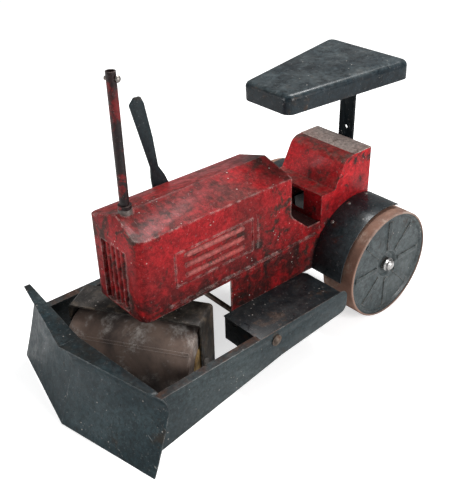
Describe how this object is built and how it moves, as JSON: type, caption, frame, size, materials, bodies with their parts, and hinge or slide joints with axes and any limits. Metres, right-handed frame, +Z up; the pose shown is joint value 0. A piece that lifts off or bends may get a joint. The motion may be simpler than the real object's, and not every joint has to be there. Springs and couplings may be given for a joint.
{
  "type": "toy tractor",
  "caption": "Ride-on toy tractor of pressed steel with a V blade, steered front roller, tall steering column, lift lever, rear wheels and a raised seat",
  "frame": {"origin": "on the ground under the middle of the whole tractor's bounding box", "axes": "+X is the tractor's left, -Y is forward, +Z is up"},
  "size_m": [0.326, 0.612, 0.464],
  "materials": {
    "red_paint": "worn gloss enamel with bare and rusty patches",
    "black_paint": "worn semi-gloss enamel",
    "blue_grey_paint": "scratched satin enamel",
    "rusted_steel": "matt rust",
    "wheel_grey": "dusty satin enamel",
    "bare_steel": "dulled bare steel",
    "wood": "dry turned wood"
  },
  "bodies": {
    "chassis": {"hood_shell": "red_paint", "grille_panel": "red_paint", "hood_bulkhead": "red_paint", "footwell_floor": "red_paint", "chassis_crossmember": "red_paint", "chassis_rear_panel": "red_paint", "seat_box": "red_paint", "seat_box_lid": "red_paint", "seat_strut": "black_paint", "strut_spacers": "bare_steel", "strut_bolts": "bare_steel", "strut_nuts": "bare_steel", "seat_pan": "black_paint", "seat_rivets": "bare_steel", "footplate_left": "black_paint", "rod_bracket_left": "black_paint", "footplate_right": "black_paint", "rod_bracket_right": "black_paint", "fender_left": "black_paint", "fender_right": "black_paint", "fender_rivets": "bare_steel", "rear_axle": "bare_steel", "axle_bracket_left": "black_paint", "axle_spacer_left": "bare_steel", "cap_nut_left": "bare_steel", "axle_bracket_right": "black_paint", "axle_spacer_right": "bare_steel", "cap_nut_right": "bare_steel", "column_bush": "bare_steel", "bearing_bracket": "black_paint"},
    "wheel_left": {"wheel_tread_left": "rusted_steel", "wheel_disc_outer_left": "wheel_grey", "wheel_disc_inner_left": "wheel_grey", "wheel_hub_left": "bare_steel"},
    "wheel_right": {"wheel_tread_right": "rusted_steel", "wheel_disc_outer_right": "wheel_grey", "wheel_disc_inner_right": "wheel_grey", "wheel_hub_right": "bare_steel"},
    "steering": {"steering_column": "black_paint", "handlebar_pin": "bare_steel", "column_collar": "bare_steel", "fork": "black_paint", "roller_axle": "bare_steel", "roller_axle_nuts": "bare_steel"},
    "roller": {"roller_drum": "rusted_steel", "roller_plug_left": "wood", "roller_plug_right": "wood"},
    "blade_lift": {"blade_left": "blue_grey_paint", "blade_right": "blue_grey_paint", "blade_seam_strap": "blue_grey_paint", "arm_left": "blue_grey_paint", "arm_right": "blue_grey_paint", "lift_rod": "bare_steel", "pivot_washers": "bare_steel", "pivot_rivet_heads": "bare_steel", "lift_lever": "black_paint", "lever_collar": "bare_steel"}
  },
  "joints": [
    {"name": "steer", "type": "hinge", "parent": "chassis", "child": "steering", "pos_m": [0, -0.172, 0.2], "axis": [0, 0, 1], "range_deg": [-64.8, 0]},
    {"name": "roller_spin", "type": "hinge", "parent": "steering", "child": "roller", "pos_m": [0, -0.172, 0.054], "axis": [0.8443, 0.5358, 0], "continuous": true},
    {"name": "wheel_left_spin", "type": "hinge", "parent": "chassis", "child": "wheel_left", "pos_m": [0.106, 0.216, 0.09], "axis": [1, 0, 0], "continuous": true},
    {"name": "wheel_right_spin", "type": "hinge", "parent": "chassis", "child": "wheel_right", "pos_m": [-0.106, 0.216, 0.09], "axis": [1, 0, 0], "continuous": true},
    {"name": "blade_raise", "type": "hinge", "parent": "chassis", "child": "blade_lift", "pos_m": [0, -0.037, 0.08], "axis": [-1, 0, 0], "range_deg": [0, 15]}
  ]
}
